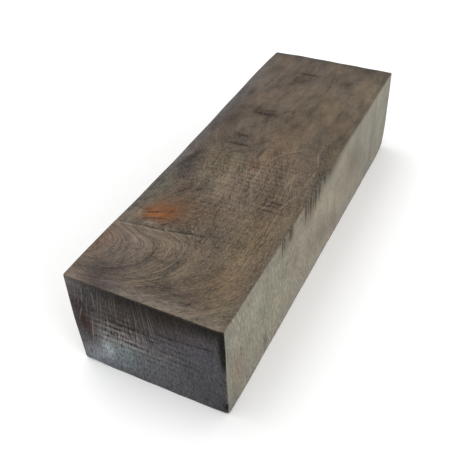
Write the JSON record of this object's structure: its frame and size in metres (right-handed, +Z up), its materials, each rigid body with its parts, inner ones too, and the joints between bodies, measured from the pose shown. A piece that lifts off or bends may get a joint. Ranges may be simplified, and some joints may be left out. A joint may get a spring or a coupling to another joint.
{
  "type": "stabilized beech handle blank",
  "caption": "Sawn rectangular block of dark resin-stabilized beech with crisp edges, a blank to be cut and shaped into a knife or tool handle.",
  "frame": {"origin": "middle of the footprint, on the surface that the blank lies on", "axes": "+Y along the length and the grain, towards the far end; +X across the width, towards the right side; +Z up through the thickness"},
  "size_m": [0.0406, 0.12, 0.0291],
  "materials": {
    "stabilized_beech": "sawn and resin filled: grey-brown with a low satin sheen"
  },
  "bodies": {
    "root": {"beech_blank": "stabilized_beech"}
  },
  "joints": []
}
